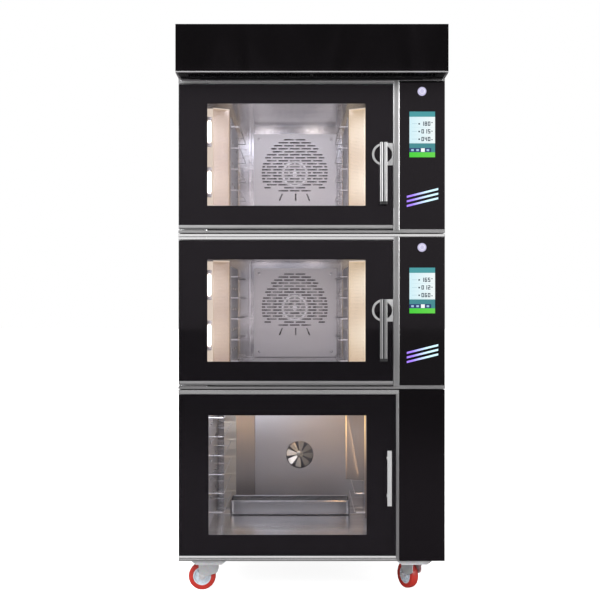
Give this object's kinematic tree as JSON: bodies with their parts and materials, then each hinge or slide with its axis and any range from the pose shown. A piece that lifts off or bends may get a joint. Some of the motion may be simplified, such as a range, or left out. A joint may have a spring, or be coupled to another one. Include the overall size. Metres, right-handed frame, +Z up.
{
  "type": "stacked convection oven with proving cabinet",
  "caption": "Free-standing bakery stack on castors: extraction hood, convection ovens with glass doors and touch controls, and a glazed proving cabinet.",
  "frame": {"origin": "on the floor, under the middle of the stack's outer box", "axes": "+X to the right for someone standing at the doors, +Y from the doors towards the back wall, +Z up"},
  "size_m": [0.96, 0.98, 2.0955],
  "materials": {
    "brushed_steel": "brushed stainless sheet",
    "polished_steel": "satin to bright stainless",
    "black_glass": "toughened glass, printed black on the back",
    "clear_glass": "clear toughened glass",
    "black_paint": "gloss black",
    "lamp_cover": "perforated reflector lit by warm lamps",
    "gasket_rubber": "black silicone",
    "display_glass": "lit colour touch display",
    "button_cap": "backlit translucent cap",
    "zinc_plate": "zinc-plated pressed steel",
    "red_tread": "red polyurethane tread on a pale nylon centre"
  },
  "bodies": {
    "cabinet": {"exhaust_spigot": "brushed_steel", "hood_fascia": "black_paint", "hood_shell": "brushed_steel", "lower_casing": "brushed_steel", "lower_chamber": "brushed_steel", "lower_control_panel": "black_glass", "lower_display": "display_glass", "lower_door_hinge": "polished_steel", "lower_fan_baffle": "brushed_steel", "lower_heating_ring": "polished_steel", "lower_lamp_left": "lamp_cover", "lower_lamp_right": "lamp_cover", "lower_tray_rack": "polished_steel", "prover_casing": "brushed_steel", "prover_chamber": "brushed_steel", "prover_door_hinge": "polished_steel", "prover_lamp": "lamp_cover", "prover_side_panel": "black_paint", "prover_tray_rack": "polished_steel", "prover_water_tray": "brushed_steel", "upper_casing": "brushed_steel", "upper_chamber": "brushed_steel", "upper_control_panel": "black_glass", "upper_display": "display_glass", "upper_door_hinge": "polished_steel", "upper_fan_baffle": "brushed_steel", "upper_heating_ring": "polished_steel", "upper_lamp_left": "lamp_cover", "upper_lamp_right": "lamp_cover", "upper_tray_rack": "polished_steel"},
    "lower_door": {"lower_door_frame": "brushed_steel", "lower_door_outer_glass": "black_glass", "lower_door_inner_glass": "clear_glass", "lower_door_gasket": "gasket_rubber", "lower_latch_plate": "polished_steel"},
    "lower_handle": {"lower_door_handle": "polished_steel"},
    "lower_button": {"lower_power_button": "button_cap"},
    "lower_fan": {"lower_fan_wheel": "polished_steel"},
    "upper_door": {"upper_door_frame": "brushed_steel", "upper_door_outer_glass": "black_glass", "upper_door_inner_glass": "clear_glass", "upper_door_gasket": "gasket_rubber", "upper_latch_plate": "polished_steel"},
    "upper_handle": {"upper_door_handle": "polished_steel"},
    "upper_button": {"upper_power_button": "button_cap"},
    "upper_fan": {"upper_fan_wheel": "polished_steel"},
    "prover_door": {"prover_door_frame": "brushed_steel", "prover_door_glass": "black_glass", "prover_door_handle": "polished_steel"},
    "prover_fan": {"prover_fan_wheel": "polished_steel"},
    "hood_fan": {"hood_fan_wheel": "polished_steel"},
    "hood_filter_body": {"hood_filter": "brushed_steel"},
    "castor_front_left": {"castor_fork_front_left": "zinc_plate"},
    "wheel_front_left": {"castor_wheel_front_left": "red_tread"},
    "castor_front_right": {"castor_fork_front_right": "zinc_plate"},
    "wheel_front_right": {"castor_wheel_front_right": "red_tread"},
    "castor_rear_left": {"castor_fork_rear_left": "zinc_plate"},
    "wheel_rear_left": {"castor_wheel_rear_left": "red_tread"},
    "castor_rear_right": {"castor_fork_rear_right": "zinc_plate"},
    "wheel_rear_right": {"castor_wheel_rear_right": "red_tread"}
  },
  "joints": [
    {"name": "lower_door_swing", "type": "hinge", "parent": "cabinet", "child": "lower_door", "pos_m": [-0.467, -0.353, 1.02], "axis": [0, 0, -1], "range_deg": [0, 120]},
    {"name": "lower_handle_turn", "type": "hinge", "parent": "lower_door", "child": "lower_handle", "pos_m": [0.2572, -0.384, 1.0275], "axis": [0, 1, 0], "range_deg": [0, 90]},
    {"name": "lower_button_press", "type": "slide", "parent": "cabinet", "child": "lower_button", "axis": [0, 1, 0], "range_m": [0, 0.002], "stiffness_N_per_m": 900},
    {"name": "lower_fan_spin", "type": "hinge", "parent": "cabinet", "child": "lower_fan", "pos_m": [-0.064, 0.372, 1.032], "axis": [0, 1, 0], "continuous": true},
    {"name": "upper_door_swing", "type": "hinge", "parent": "cabinet", "child": "upper_door", "pos_m": [-0.467, -0.353, 1.582], "axis": [0, 0, -1], "range_deg": [0, 120]},
    {"name": "upper_handle_turn", "type": "hinge", "parent": "upper_door", "child": "upper_handle", "pos_m": [0.2572, -0.384, 1.5895], "axis": [0, 1, 0], "range_deg": [0, 90]},
    {"name": "upper_button_press", "type": "slide", "parent": "cabinet", "child": "upper_button", "axis": [0, 1, 0], "range_m": [0, 0.002], "stiffness_N_per_m": 900},
    {"name": "upper_fan_spin", "type": "hinge", "parent": "cabinet", "child": "upper_fan", "pos_m": [-0.064, 0.372, 1.594], "axis": [0, 1, 0], "continuous": true},
    {"name": "prover_door_swing", "type": "hinge", "parent": "cabinet", "child": "prover_door", "pos_m": [-0.467, -0.353, 0.4294], "axis": [0, 0, -1], "range_deg": [0, 120]},
    {"name": "prover_fan_spin", "type": "hinge", "parent": "cabinet", "child": "prover_fan", "pos_m": [-0.043, 0.35, 0.418], "axis": [0, 1, 0], "continuous": true},
    {"name": "hood_fan_spin", "type": "hinge", "parent": "cabinet", "child": "hood_fan", "pos_m": [0, 0.25, 1.8915], "axis": [0, 0, 1], "continuous": true},
    {"name": "hood_filter_drop", "type": "slide", "parent": "cabinet", "child": "hood_filter_body", "axis": [0, 0, -1], "range_m": [0, 0.018], "stiffness_N_per_m": 2500, "springref_m": -0.02},
    {"name": "swivel_front_left", "type": "hinge", "parent": "cabinet", "child": "castor_front_left", "pos_m": [-0.372, -0.28, 0.1135], "axis": [0, 0, 1], "continuous": true},
    {"name": "roll_front_left", "type": "hinge", "parent": "castor_front_left", "child": "wheel_front_left", "pos_m": [-0.402, -0.28, 0.05], "axis": [0, -1, 0], "continuous": true},
    {"name": "swivel_front_right", "type": "hinge", "parent": "cabinet", "child": "castor_front_right", "pos_m": [0.372, -0.28, 0.1135], "axis": [0, 0, 1], "continuous": true},
    {"name": "roll_front_right", "type": "hinge", "parent": "castor_front_right", "child": "wheel_front_right", "pos_m": [0.357, -0.25402, 0.05], "axis": [-0.866, -0.5, 0], "continuous": true},
    {"name": "swivel_rear_left", "type": "hinge", "parent": "cabinet", "child": "castor_rear_left", "pos_m": [-0.372, 0.4, 0.1135], "axis": [0, 0, 1], "continuous": true},
    {"name": "roll_rear_left", "type": "hinge", "parent": "castor_rear_left", "child": "wheel_rear_left", "pos_m": [-0.372, 0.43, 0.05], "axis": [-1, 0, 0], "continuous": true},
    {"name": "swivel_rear_right", "type": "hinge", "parent": "cabinet", "child": "castor_rear_right", "pos_m": [0.372, 0.4, 0.1135], "axis": [0, 0, 1], "continuous": true},
    {"name": "roll_rear_right", "type": "hinge", "parent": "castor_rear_right", "child": "wheel_rear_right", "pos_m": [0.36076, 0.42782, 0.05], "axis": [-0.9272, -0.3746, 0], "continuous": true}
  ]
}
